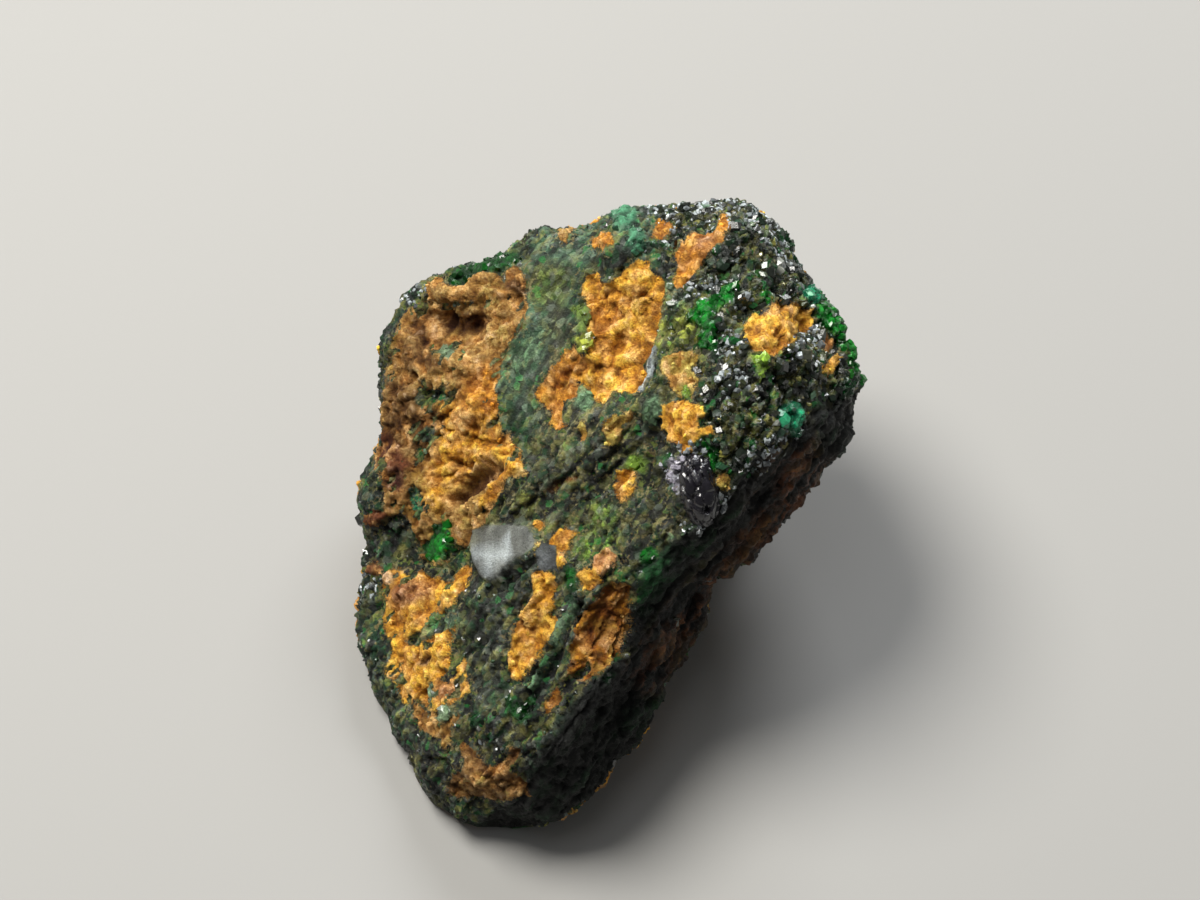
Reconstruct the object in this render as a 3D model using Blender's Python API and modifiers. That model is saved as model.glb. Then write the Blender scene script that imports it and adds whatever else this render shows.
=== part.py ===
# Rough uvarovite garnet: one small broken stone, lying on the flat break across its back.
# The finished object is in metres, +Z up, with its origin on the floor under the middle of the stone.
# The shape is worked out in millimetres in the stone's own face-on frame: u to the right, v up and w
# out of its best side. The stone is then leaned back, so that it rests on its broken back.

import math

import bmesh
import bpy
from mathutils import Matrix, Vector, noise

MM = 0.001
NAME = "uvarovite_stone"

# Driving dimensions, in millimetres and degrees
LEAN_DEG = 30.0  # how far the best side leans back from lying level
FLOOR_DROP = 3.2  # from the middle of the stone down to its resting face
GRAIN_DEG = 52.0  # the run of the grain across the best side, anticlockwise from u
BLOCK_DEPTH = (-7.0, 3.2)  # how far a block reaches behind and in front before it is broken to shape
CELL = 0.24  # size of the surface mesh

# Each block has its outline seen face on, clockwise from the top, and the faces broken off it:
# a point that the face passes through and the direction that it looks.
BLOCKS = {
    "shoulder": {
        "outline": [
            (0.0, 4.9), (0.95, 5.1), (1.6, 5.2), (2.3, 5.12), (2.75, 4.9), (3.4, 4.1), (3.9, 3.25),
            (4.15, 2.3), (4.12, 1.7), (3.85, 0.9), (3.4, 0.1), (2.65, -0.6), (1.85, -1.2), (0.5, -1.4),
            (-0.6, 0.2), (-0.8, 2.5),
        ],
        "faces": [
            ((2.2, 1.7, 2.15), (-0.08, 0.34, 0.94)),
            ((1.2, -0.5, 2.0), (-0.42, 0.10, 0.90)),
            ((1.6, 4.5, 0.95), (-0.05, 0.84, 0.54)),
            ((3.35, 3.3, 1.0), (0.62, 0.52, 0.58)),
            ((3.85, 1.9, 0.85), (0.72, 0.26, 0.64)),
            ((1.75, -0.15, 2.0), (0.56, -0.63, 0.53)),
            ((1.5, 4.9, -1.4), (0.10, 0.62, -0.78)),
            ((4.0, 2.0, -1.2), (0.74, 0.10, -0.66)),
            ((2.7, -0.6, -1.3), (0.60, -0.46, -0.65)),
        ],
    },
    "limb": {
        "outline": [
            (-3.35, 3.5), (-2.45, 3.95), (-0.95, 4.6), (0.1, 4.95), (1.2, 4.9), (2.2, 2.0), (1.9, -1.2),
            (1.65, -2.05), (1.2, -2.9), (0.65, -3.65), (0.2, -4.45), (-0.5, -5.2), (-1.75, -5.4),
            (-2.95, -5.05), (-3.7, -4.0), (-4.05, -2.75), (-4.45, -1.75), (-4.3, -0.65), (-4.1, 0.6),
            (-3.9, 1.85), (-3.7, 2.85),
        ],
        "faces": [
            ((0.9, -0.8, 1.8), (-0.36, 0.22, 0.91)),
            ((-1.5, 0.0, 0.65), (-0.58, 0.10, 0.81)),
            ((-4.05, 0.0, -0.9), (-0.93, 0.12, 0.36)),
            ((-1.2, 3.9, 0.1), (-0.20, 0.78, 0.59)),
            ((-3.0, 3.4, -0.5), (-0.62, 0.62, 0.48)),
            ((0.4, -2.0, 1.6), (0.77, -0.37, 0.52)),
            ((-1.4, -4.6, 0.8), (-0.10, -0.82, 0.56)),
            ((-3.5, -3.9, -0.5), (-0.78, -0.46, 0.42)),
            ((-4.25, 0.0, -1.9), (-0.72, 0.05, -0.69)),
            ((-1.5, 4.4, -1.6), (-0.25, 0.60, -0.76)),
            ((1.2, -2.6, -1.0), (0.66, -0.34, -0.67)),
        ],
    },
    "heel": {
        "outline": [(-2.6, 2.6), (2.6, 3.2), (2.9, 0.6), (1.1, -2.4), (-2.4, -3.4), (-3.1, -0.6)],
        "faces": [
            ((0.0, 0.0, -0.8), (0.0, 0.0, 1.0)),
            ((-2.8, 0.0, -3.2), (-0.80, 0.10, -0.59)),
            ((2.4, 1.6, -3.6), (0.78, 0.20, -0.59)),
        ],
    },
}

# Hollows and swellings of the best side: where they lie, how deep (+) or proud (-) they are,
# and their half lengths along and across the grain
HOLLOWS = {
    "left_pocket": ((-2.7, 3.05), 0.35, 0.35, 1.1),
    "left_flank": ((-2.2, 0.6), 0.25, 2.4, 0.8),
    "golden_pocket": ((0.5, 2.9), 0.22, 1.3, 0.6),
    "knob": ((2.5, 1.9), -0.25, 1.3, 1.1),
    "lower_pocket": ((0.0, -2.1), 0.30, 0.8, 0.45),
    "lower_slot": ((-1.2, -2.1), 0.20, 0.9, 0.3),
    "notch": ((2.0, -1.6), 0.35, 0.6, 0.6),
}

# Relief all over the skin: how fine it is along the grain, across it and in depth, per millimetre,
# where it starts, and its height
LUMPS = {"fineness": (0.42, 0.42, 0.42), "start": (3.1, 7.7, 1.9), "height": 0.30}
RIBS = {"fineness": (0.45, 1.3, 1.1), "start": (5.3, 0.4, 9.1), "height": 0.22}
CHIPS = {"fineness": (1.6, 1.6, 1.6), "start": (0.0, 0.0, 0.0), "height": 0.10}
SINK = 0.08  # how much all of the skin draws in, to make up for the ribs


def grain_coordinates(point):
    """A point of the face-on frame, turned so that x runs along the grain."""
    turn = math.radians(GRAIN_DEG)
    along = point.x * math.cos(turn) + point.y * math.sin(turn)
    across = point.y * math.cos(turn) - point.x * math.sin(turn)
    return Vector((along, across, point.z))


def broken_block(outline, faces):
    """A block with that outline, with each broken face cut away and closed."""
    block = bmesh.new()
    low, high = BLOCK_DEPTH
    front = block.faces.new([block.verts.new((u, v, high)) for u, v in outline])
    sides = bmesh.ops.extrude_face_region(block, geom=[front])
    moved = [item for item in sides["geom"] if isinstance(item, bmesh.types.BMVert)]
    bmesh.ops.translate(block, vec=(0, 0, low - high), verts=moved)
    bmesh.ops.recalc_face_normals(block, faces=block.faces)
    for point, normal in faces:
        geometry = block.verts[:] + block.edges[:] + block.faces[:]
        cut = bmesh.ops.bisect_plane(
            block, geom=geometry, dist=1e-5, plane_co=point, plane_no=normal, clear_outer=True
        )
        rim = [item for item in cut["geom_cut"] if isinstance(item, bmesh.types.BMEdge)]
        bmesh.ops.contextual_create(block, geom=rim)
    bmesh.ops.recalc_face_normals(block, faces=block.faces)
    return block


def joined_blocks():
    """All blocks in one mesh, still overlapping each other."""
    whole = bpy.data.meshes.new("blocks")
    gathered = bmesh.new()
    for block in BLOCKS.values():
        piece = broken_block(block["outline"], block["faces"])
        piece.to_mesh(whole)
        piece.free()
        gathered.from_mesh(whole)
    bmesh.ops.triangulate(gathered, faces=gathered.faces)
    gathered.to_mesh(whole)
    gathered.free()
    return whole


def fused(mesh):
    """The blocks fused into one even skin, with their broken edges softened."""
    rough = bpy.data.objects.new("blocks", mesh)
    bpy.context.scene.collection.objects.link(rough)
    remesh = rough.modifiers.new("fuse", "REMESH")
    remesh.mode = "VOXEL"
    remesh.voxel_size = CELL
    soften = rough.modifiers.new("soften", "SMOOTH")
    soften.factor = 0.5
    soften.iterations = 7
    graph = bpy.context.evaluated_depsgraph_get()
    skin = bpy.data.meshes.new_from_object(rough.evaluated_get(graph))
    bpy.data.objects.remove(rough)
    return skin


def hollow_depth(point, facing):
    """How far the hollows and swellings of the best side move a point inwards."""
    if facing <= 0:
        return 0.0
    depth = 0.0
    for centre, deep, half_along, half_across in HOLLOWS.values():
        offset = grain_coordinates(Vector((point.x - centre[0], point.y - centre[1], 0)))
        reach = (offset.x / half_along) ** 2 + (offset.y / half_across) ** 2
        depth += deep * math.exp(-reach)
    return depth * min(1.0, facing * 2)


def place_in(relief, point):
    """Where a point lies in the pattern of that relief."""
    return Vector([c * fine + start for c, fine, start in zip(point, relief["fineness"], relief["start"])])


def weathered(bm):
    """Moves the skin in and out: broad lumps, ribs along the grain, small chips and the hollows."""
    bm.normal_update()
    moves = []
    for vert in bm.verts:
        lumps = noise.fractal(place_in(LUMPS, vert.co), 0.9, 2.0, 3) * LUMPS["height"]
        crest = 0.5 - abs(noise.noise(place_in(RIBS, grain_coordinates(vert.co))))
        ribs = crest * RIBS["height"]
        chips = noise.fractal(place_in(CHIPS, vert.co), 0.8, 2.2, 3) * CHIPS["height"]
        inward = SINK + hollow_depth(vert.co, vert.normal.z)
        moves.append(vert.normal * (lumps + ribs + chips - inward))
    for vert, move in zip(bm.verts, moves):
        vert.co += move


def laid_down(bm):
    """Leans the stone onto its back, cuts the resting face flat and sets the origin under the middle."""
    lean = Matrix.Rotation(math.radians(LEAN_DEG), 4, "X")
    bmesh.ops.transform(bm, matrix=lean, verts=bm.verts)
    geometry = bm.verts[:] + bm.edges[:] + bm.faces[:]
    cut = bmesh.ops.bisect_plane(
        bm, geom=geometry, dist=1e-4, plane_co=(0, 0, -FLOOR_DROP), plane_no=(0, 0, -1), clear_outer=True
    )
    rim = [item for item in cut["geom_cut"] if isinstance(item, bmesh.types.BMEdge)]
    bmesh.ops.holes_fill(bm, edges=rim)
    low = Vector([min(vert.co[axis] for vert in bm.verts) for axis in range(3)])
    high = Vector([max(vert.co[axis] for vert in bm.verts) for axis in range(3)])
    middle = (low + high) / 2
    bmesh.ops.translate(bm, vec=(-middle.x, -middle.y, -low.z), verts=bm.verts)
    print("the face-on frame's origin lies at", [round(-c, 3) for c in (middle.x, middle.y, low.z)])


def garnet_material():
    """Dark green garnet, dull where it is broken."""
    material = bpy.data.materials.new("dark_green_garnet")
    material.use_nodes = True
    shader = material.node_tree.nodes["Principled BSDF"]
    shader.inputs["Base Color"].default_value = (0.045, 0.075, 0.045, 1.0)
    shader.inputs["Roughness"].default_value = 0.55
    shader.inputs["Metallic"].default_value = 0.0
    return material


def build_stone():
    skin = fused(joined_blocks())
    bm = bmesh.new()
    bm.from_mesh(skin)
    weathered(bm)
    laid_down(bm)
    bmesh.ops.triangulate(bm, faces=bm.faces)
    bmesh.ops.scale(bm, vec=(MM, MM, MM), verts=bm.verts)
    bmesh.ops.recalc_face_normals(bm, faces=bm.faces)
    bm.to_mesh(skin)
    bm.free()
    skin.name = NAME
    skin.materials.clear()
    skin.materials.append(garnet_material())
    skin.shade_smooth()
    stone = bpy.data.objects.new(NAME, skin)
    parts = bpy.data.collections.new("uvarovite_garnet")
    bpy.context.scene.collection.children.link(parts)
    parts.objects.link(stone)


for leftover in list(bpy.data.objects):
    bpy.data.objects.remove(leftover)
build_stone()
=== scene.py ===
# A small rough stone of dark green uvarovite garnet with golden iron oxide grown into it.
# It lies on its broken back, and the camera looks down on its best side.
# Relief and patterns are worked out in millimetres; every mesh is written in metres.

import math

import bmesh
import bpy
import numpy as np
from mathutils import Matrix, Quaternion, Vector, noise


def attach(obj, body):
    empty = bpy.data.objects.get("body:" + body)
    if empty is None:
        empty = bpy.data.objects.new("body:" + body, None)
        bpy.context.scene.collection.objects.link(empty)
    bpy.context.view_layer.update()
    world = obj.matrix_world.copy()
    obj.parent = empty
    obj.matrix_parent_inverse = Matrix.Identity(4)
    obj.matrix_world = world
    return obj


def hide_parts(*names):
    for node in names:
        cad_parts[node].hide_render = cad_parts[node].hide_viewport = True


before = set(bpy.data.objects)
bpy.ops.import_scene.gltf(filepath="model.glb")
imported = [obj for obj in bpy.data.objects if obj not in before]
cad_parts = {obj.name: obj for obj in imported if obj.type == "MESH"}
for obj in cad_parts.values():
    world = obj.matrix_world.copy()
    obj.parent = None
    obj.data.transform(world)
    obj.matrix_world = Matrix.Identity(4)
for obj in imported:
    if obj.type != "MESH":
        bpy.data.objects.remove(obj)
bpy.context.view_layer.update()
print("frame loaded")

mm = 0.001

# The photographed view. Outlines further down are in its pixels, 1200 across and 900 down.
view = {
    "lean": 30.0,  # degrees that the best side leans back
    "middle": (-0.02, -0.283, 3.2),  # mm, the face-on frame's origin in the row's frame
    "aim": (-0.083, 0.917),  # mm, the face-on point in the middle of the picture
    "centre": (600, 450),  # pixels, the middle of the picture
    "distance": 66.7,  # mm from there to the camera
    "scale": 60.0,  # pixels to the millimetre at that distance
    "lens": 120.0,
    "sensor": 36.0,
    "clip": (0.001, 2.0),  # metres
}
leanBack = Matrix.Rotation(math.radians(view["lean"]), 3, "X")
turned = np.array(leanBack)


def faceOn(points):
    # from metres in the row's frame to millimetres right, up and towards the camera
    return (points / mm - np.array(view["middle"])) @ turned


def inPicture(across):
    # where face-on points fall in the picture
    near = view["scale"] * view["distance"] / (view["distance"] - across[:, 2])
    x = view["centre"][0] + (across[:, 0] - view["aim"][0]) * near
    y = view["centre"][1] - (across[:, 1] - view["aim"][1]) * near
    return x, y


def ramp(values, start, end):
    # 0 before start, 1 after end, smooth between them
    t = np.clip((values - start) / (end - start), 0.0, 1.0)
    return t * t * (3 - 2 * t)


def cloud(points, size, seed, octaves=3, fine=0.9):
    # cloudy noise, about -1 to 1; its lumps have that size in mm, one for all directions or one each
    shift = Vector((seed * 7.31, seed * 3.77, seed * 5.19))
    scaled = points / np.array(size)
    return np.array([noise.fractal(Vector(p) + shift, fine, 2.0, octaves) for p in scaled])


def crystals(points, size, seed, tilt=1.0, seam=0.3):
    # tightly packed crystal grains: flat faces tilted at random, with seams between them
    shift = Vector((seed * 4.13, seed * 9.71, seed * 2.57))
    level = Vector((0.5, 0.5, 0.5))
    heights = []
    for p in points / np.array(size):
        at = Vector(p) + shift
        gaps, centres = noise.voronoi(at)
        slope = noise.cell_vector(centres[0]) - level
        face = slope.dot(at - centres[0]) * 2 * tilt
        heights.append(face + min(1.0, (gaps[1] - gaps[0]) / seam) * 0.5 - 0.5)
    return np.array(heights)


def alongGrain(points, turn):
    # face-on points turned so that the first number runs along the grain of the stone
    c = math.cos(math.radians(turn))
    s = math.sin(math.radians(turn))
    along = points[:, 0] * c + points[:, 1] * s
    across = points[:, 1] * c - points[:, 0] * s
    return np.stack([along, across, points[:, 2]], axis=1)


def nearLine(x, y, line):
    # pixels from a line
    corners = np.array(line, float)
    nearest = np.full(x.shape, np.inf)
    for a, b in zip(corners, corners[1:]):
        run = b - a
        t = np.clip(((x - a[0]) * run[0] + (y - a[1]) * run[1]) / (run @ run), 0, 1)
        nearest = np.minimum(nearest, np.hypot(x - a[0] - t * run[0], y - a[1] - t * run[1]))
    return nearest


def insideOf(x, y, edge):
    # pixels inside an outline; below zero outside it
    corners = np.array([*edge, edge[0]], float)
    inside = np.zeros(x.shape, bool)
    for a, b in zip(corners, corners[1:]):
        if a[1] != b[1]:
            crossing = (a[1] > y) != (b[1] > y)
            inside ^= crossing & (x < a[0] + (y - a[1]) * (b[0] - a[0]) / (b[1] - a[1]))
    nearest = nearLine(x, y, corners)
    return np.where(inside, nearest, -nearest)


# Colours as linear light
colours = {
    "golden": (0.90, 0.49, 0.050),
    "orange": (0.70, 0.32, 0.035),
    "chalk": (0.75, 0.50, 0.26),
    "peach": (0.86, 0.49, 0.16),
    "rosy": (0.40, 0.19, 0.08),
    "amber": (0.36, 0.14, 0.006),
    "tan": (0.44, 0.27, 0.075),
    "pink": (0.60, 0.32, 0.14),
    "brown": (0.20, 0.11, 0.03),
    "rust": (0.15, 0.046, 0.014),
    "umber": (0.09, 0.034, 0.004),
    "plum": (0.07, 0.020, 0.012),
    "yellow": (0.52, 0.42, 0.09),
    "olive": (0.18, 0.17, 0.04),
    "moss": (0.10, 0.155, 0.028),
    "lime": (0.26, 0.44, 0.05),
    "yellowGreen": (0.38, 0.43, 0.06),
    "emerald": (0.001, 0.15, 0.008),
    "deepGreen": (0.001, 0.055, 0.003),
    "bottleGreen": (0.002, 0.045, 0.008),
    "teal": (0.010, 0.20, 0.09),
    "paleTeal": (0.055, 0.19, 0.10),
    "greyGreen": (0.13, 0.23, 0.12),
    "greyTeal": (0.060, 0.110, 0.068),
    "slate": (0.044, 0.054, 0.038),
    "greyBrown": (0.078, 0.084, 0.044),
    "silver": (0.165, 0.175, 0.160),
    "steel": (0.115, 0.125, 0.130),
    "lilac": (0.44, 0.42, 0.50),
    "icy": (0.22, 0.32, 0.18),
    "soot": (0.022, 0.026, 0.018),
    "black": (0.0035, 0.0050, 0.0030),
    "blackGreen": (0.006, 0.014, 0.007),
    "darkTeal": (0.010, 0.032, 0.020),
    "frost": (0.54, 0.60, 0.62),
}

# Broad areas of the rock, painted first: colour, softness of the edge in pixels, outline
washes = {
    "middle": ("greyBrown", 22, [
        (505, 440), (540, 400), (600, 395), (645, 400), (662, 440), (690, 455), (690, 520), (655, 560),
        (600, 530), (545, 545), (495, 545), (480, 520), (495, 480)]),
    "darkBed": ("soot", 10, [
        (615, 545), (612, 530), (620, 510), (640, 495), (660, 480), (680, 485), (685, 500), (672, 520),
        (660, 540), (645, 550), (625, 553)]),
    "darkRun": ("soot", 12, [
        (585, 430), (615, 455), (640, 420), (658, 425), (655, 470), (625, 510), (590, 520), (560, 500),
        (575, 465)]),
    "band": ("greyTeal", 14, [
        (522, 300), (524, 262), (560, 248), (600, 250), (640, 250), (625, 270), (582, 276), (572, 300),
        (570, 345), (548, 385), (538, 400), (540, 430), (520, 440), (500, 425), (496, 395), (505, 350)]),
    "bandGrey": ("greyBrown", 10, [
        (548, 286), (566, 284), (568, 345), (560, 372), (553, 408), (534, 418), (528, 400), (540, 370),
        (549, 345)]),
    "bandTop": ("olive", 12, [(526, 266), (560, 262), (566, 284), (545, 300), (526, 292)]),
    "paleGreen": ("greyGreen", 10, [
        (512, 345), (535, 335), (540, 350), (530, 370), (515, 372), (512, 395), (498, 400), (497, 380)]),
    "lowGrey": ("slate", 12, [
        (452, 722), (472, 700), (470, 650), (462, 610), (480, 590), (530, 575), (540, 600), (512, 620),
        (506, 660), (512, 690), (540, 668), (560, 640), (556, 660), (530, 695), (500, 712), (470, 735)]),
    "shoulder": ("blackGreen", 16, [
        (668, 195), (775, 200), (812, 255), (850, 320), (868, 380), (850, 402), (818, 388), (795, 440),
        (745, 472), (716, 500), (690, 455), (700, 430), (700, 395), (690, 345), (668, 320), (672, 285),
        (660, 240)]),
    "topEdge": ("greyTeal", 12, [
        (515, 245), (560, 218), (612, 198), (656, 196), (662, 250), (640, 256), (585, 262), (540, 268)]),
    "leftFringe": ("darkTeal", 12, [
        (340, 600), (358, 510), (366, 430), (380, 398), (372, 470), (386, 520), (378, 575), (384, 620),
        (388, 690), (402, 745), (370, 690)]),
    "foot": ("black", 16, [
        (405, 745), (470, 722), (530, 705), (560, 630), (590, 600), (640, 580), (660, 600), (600, 700),
        (560, 815), (430, 800)]),
}

# Iron oxide: colour, height against the rock around it in mm, outline
oxides = {
    "goldenField": ("golden", -0.08, [
        (582, 275), (592, 272), (598, 282), (608, 283), (620, 272), (634, 262), (647, 258), (650, 272),
        (661, 277), (664, 290), (660, 303), (658, 312), (661, 322), (654, 337), (647, 352), (640, 364),
        (643, 377), (638, 390), (626, 394), (612, 390), (603, 401), (592, 399), (585, 386), (578, 382),
        (578, 368), (586, 355), (590, 338), (585, 325), (590, 316), (586, 303), (580, 293)]),
    "goldenLobe": ("orange", -0.05, [
        (560, 355), (572, 345), (583, 355), (584, 370), (578, 382), (575, 396), (562, 402), (560, 412),
        (563, 426), (555, 433), (548, 424), (548, 412), (542, 408), (537, 398), (540, 382), (550, 372)]),
    "leftField": ("tan", -0.02, [
        (402, 312), (424, 300), (470, 300), (524, 292), (528, 306), (516, 335), (505, 352), (500, 372),
        (496, 385), (495, 400), (499, 422), (503, 436), (512, 428), (518, 445), (521, 460), (527, 474),
        (518, 479), (510, 476), (504, 487), (496, 501), (487, 514), (481, 526), (472, 538), (466, 552),
        (452, 556), (444, 563), (434, 566), (420, 556), (405, 562), (392, 560), (384, 540), (378, 525),
        (384, 505), (381, 480), (372, 460), (374, 432), (379, 400), (384, 375), (387, 350), (395, 330)]),
    "leftLedge": ("tan", 0.09, [
        (426, 284), (440, 274), (448, 286), (463, 287), (475, 275), (490, 274), (504, 281), (508, 269),
        (519, 267), (525, 280), (523, 293), (508, 296), (492, 300), (470, 301), (446, 304), (430, 299)]),
    "lowField": ("golden", -0.02, [
        (384, 575), (394, 568), (404, 574), (418, 568), (430, 578), (446, 582), (462, 561), (470, 566),
        (466, 584), (454, 601), (446, 612), (431, 613), (424, 622), (419, 632), (410, 637), (412, 645),
        (426, 640), (440, 632), (453, 625), (449, 640), (447, 655), (446, 668), (441, 679), (448, 684),
        (453, 671), (459, 664), (463, 659), (468, 661), (467, 680), (469, 692), (460, 698), (450, 703),
        (440, 706), (431, 712), (424, 703), (414, 701), (404, 703), (396, 690), (391, 680), (384, 674),
        (387, 662), (392, 650), (392, 640), (383, 629), (381, 617), (385, 604), (379, 591)]),
    "lowTail": ("tan", 0.0, [
        (414, 702), (430, 712), (445, 726), (456, 712), (460, 716), (450, 735), (448, 748), (440, 742),
        (430, 735), (420, 728), (413, 716)]),
    "spearPatch": ("golden", 0.03, [
        (534, 574), (543, 572), (553, 574), (556, 586), (553, 596), (556, 604), (549, 615), (557, 616),
        (559, 626), (552, 637), (543, 645), (538, 653), (534, 663), (525, 672), (519, 681), (512, 678),
        (508, 668), (508, 655), (509, 640), (514, 625), (522, 612), (530, 603), (534, 594)]),
    "sunkenPatch": ("amber", -0.18, [
        (601, 591), (611, 582), (622, 583), (630, 589), (631, 605), (637, 618), (635, 632), (626, 641),
        (625, 650), (622, 658), (612, 660), (604, 668), (591, 677), (579, 681), (569, 678), (568, 668),
        (566, 658), (566, 650), (572, 643), (575, 637), (570, 628), (574, 618), (583, 611), (592, 603)]),
    "elbowPatch": ("golden", 0.04, [
        (552, 538), (557, 530), (566, 528), (576, 532), (571, 539), (571, 550), (564, 553), (567, 562),
        (559, 569), (553, 558), (550, 548)]),
    "brightCrumb": ("pink", 0.06, [
        (592, 558), (600, 552), (612, 547), (619, 556), (613, 565), (606, 573), (598, 576), (592, 570)]),
    "twinCrumb": ("golden", 0.04, [
        (576, 575), (585, 569), (597, 572), (601, 581), (592, 590), (582, 588)]),
    "shoulderPatch": ("golden", -0.07, [
        (745, 322), (752, 313), (765, 310), (772, 302), (783, 299), (800, 302), (812, 308), (818, 320),
        (812, 327), (802, 330), (800, 338), (790, 345), (780, 352), (768, 352), (755, 348), (746, 340)]),
    "cheekPatch": ("golden", 0.0, [
        (655, 414), (661, 405), (672, 400), (690, 402), (702, 405), (704, 414), (696, 418), (700, 427),
        (712, 424), (715, 432), (701, 436), (696, 441), (689, 446), (691, 453), (680, 453), (673, 441),
        (664, 430), (657, 427)]),
    "crownPatch": ("orange", -0.03, [
        (672, 285), (676, 268), (674, 250), (684, 240), (699, 230), (714, 232), (720, 215), (727, 209),
        (729, 220), (719, 240), (706, 250), (701, 262), (695, 275), (685, 286)]),
    "crownTail": ("orange", 0.0, [(652, 233), (659, 219), (668, 222), (677, 226), (668, 233), (660, 238)]),
    "drop": ("golden", 0.02, [
        (618, 470), (628, 467), (638, 470), (639, 480), (635, 488), (630, 497), (622, 503), (616, 495),
        (613, 488), (617, 480)]),
    "mossyPatch": ("yellow", 0.0, [
        (602, 421), (612, 415), (625, 416), (633, 411), (630, 421), (622, 428), (622, 438), (615, 445),
        (608, 447), (606, 438), (601, 430)]),
    "speckledPatch": ("yellow", 0.0, [
        (661, 356), (676, 350), (690, 350), (700, 358), (690, 368), (696, 380), (691, 396), (679, 397),
        (670, 388), (666, 374), (660, 366)]),
    "smallDot": ("amber", 0.0, [(819, 339), (829, 334), (834, 344), (827, 352), (819, 348)]),
    "rightStreak": ("golden", 0.0, [(822, 369), (833, 355), (841, 352), (839, 366), (829, 377)]),
    "lowStreak": ("golden", 0.0, [(775, 384), (783, 379), (786, 391), (778, 399)]),
    "mossyDot": ("yellow", 0.0, [(717, 478), (724, 473), (733, 478), (731, 489), (722, 494), (717, 488)]),
    "sliver": ("amber", 0.0, [(549, 696), (557, 689), (561, 697), (556, 706), (549, 714), (545, 706)]),
    "topDot": ("orange", 0.02, [(591, 240), (599, 231), (609, 232), (613, 242), (600, 250), (593, 247)]),
    "topSmear": ("tan", 0.0, [(556, 225), (566, 220), (574, 228), (566, 241), (558, 236)]),
    "flakeA": ("yellow", 0.0, [(575, 439), (579, 425), (585, 421), (587, 432), (580, 442)]),
    "flakeB": ("orange", 0.0, [(531, 523), (538, 517), (544, 523), (539, 530)]),
    "flakeC": ("yellow", 0.0, [(532, 546), (537, 539), (541, 547), (536, 555)]),
    "redLow": ("rust", 0.0, [(364, 518), (374, 508), (386, 514), (384, 526), (368, 528)]),
    "redLower": ("rust", 0.0, [(362, 574), (372, 560), (388, 551), (394, 560), (378, 574)]),
    "footPatch": ("brown", -0.02, [
        (448, 782), (462, 768), (460, 745), (470, 742), (480, 762), (500, 765), (512, 745), (518, 752),
        (510, 770), (522, 782), (530, 797), (500, 800), (470, 798), (450, 795)]),
}

# Tones within the iron oxide: colour, height in mm, softness in pixels, outline
oxideTones = {
    "ledgeShadow": ("umber", -0.10, 7, [
        (409, 322), (424, 308), (441, 312), (465, 317), (481, 314), (489, 320), (478, 331), (464, 334),
        (447, 329), (432, 334), (419, 341), (410, 333)]),
    "ledgeCorner": ("umber", -0.08, 10, [(500, 283), (514, 276), (527, 280), (527, 292), (510, 294)]),
    # painted shade: the hollow is painted dark umber where shade falls in it
    "ovenShade": ("umber", -0.22, 7, [
        (452, 499), (462, 487), (474, 472), (487, 463), (499, 464), (495, 476), (481, 487), (468, 498),
        (456, 504)]),
    "ovenRim": ("golden", 0.07, 6, [
        (470, 458), (486, 449), (503, 448), (512, 440), (518, 452), (523, 470), (512, 472), (502, 484),
        (494, 500), (484, 510), (478, 500), (492, 484), (503, 466), (496, 457), (480, 461)]),
    "warmSide": ("golden", 0.05, 22, [
        (440, 410), (475, 392), (493, 395), (496, 430), (505, 445), (490, 455), (470, 470), (450, 490),
        (440, 510), (425, 500), (432, 470), (440, 440)]),
    "upperOrange": ("orange", 0.0, 16, [(470, 375), (492, 370), (495, 400), (475, 405), (462, 392)]),
    "pinkTop": ("tan", 0.05, 18, [(455, 345), (480, 335), (500, 355), (495, 372), (470, 372), (450, 362)]),
    "pinkMid": ("peach", 0.04, 12, [(452, 412), (472, 405), (482, 420), (465, 432), (450, 425)]),
    "pinkLow": ("pink", 0.03, 14, [
        (385, 590), (400, 584), (425, 582), (432, 592), (415, 604), (395, 608)]),
    "pinkFoot": ("pink", 0.03, 12, [(435, 684), (452, 682), (462, 690), (450, 701), (436, 700)]),
    "pinkCrown": ("rosy", 0.03, 10, [(692, 243), (702, 233), (716, 236), (712, 245), (700, 251)]),
    "redEdge": ("rust", 0.0, 14, [
        (372, 430), (384, 424), (398, 440), (405, 455), (415, 462), (404, 478), (398, 492), (386, 492),
        (381, 470), (372, 455)]),
    "leftShade": ("brown", 0.0, 16, [
        (384, 375), (405, 380), (432, 398), (440, 420), (432, 450), (412, 462), (400, 440), (380, 425)]),
    "fieldOrange": ("orange", 0.0, 12, [
        (470, 368), (488, 360), (497, 380), (497, 410), (484, 415), (474, 395)]),
    "brownTop": ("brown", 0.0, 20, [
        (398, 345), (412, 335), (440, 345), (436, 370), (410, 372), (396, 362)]),
    "plumEdge": ("plum", -0.08, 9, [(384, 474), (396, 466), (402, 476), (396, 488), (386, 488)]),
    "plumTop": ("plum", -0.06, 9, [(378, 440), (392, 438), (398, 448), (386, 454), (378, 450)]),
    "purpleLump": ("rosy", 0.05, 10, [
        (392, 584), (412, 578), (432, 582), (428, 596), (410, 602), (394, 598)]),
    "darkStreak": ("umber", -0.10, 8, [(404, 566), (418, 556), (430, 560), (424, 570), (410, 572)]),
    "sootStreak": ("umber", -0.06, 7, [(416, 660), (428, 657), (434, 661), (424, 667), (415, 667)]),
    "fieldShade": ("orange", -0.02, 16, [
        (590, 300), (606, 292), (622, 300), (618, 325), (602, 335), (592, 320)]),
    "fieldLight": ("golden", 0.04, 14, [(600, 360), (625, 350), (640, 365), (628, 385), (604, 384)]),
    # painted highlight: a pale chalky spot on the left edge
    "chalkHighlight": ("chalk", 0.04, 7, [(376, 578), (386, 568), (394, 576), (386, 586)]),
}

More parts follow.
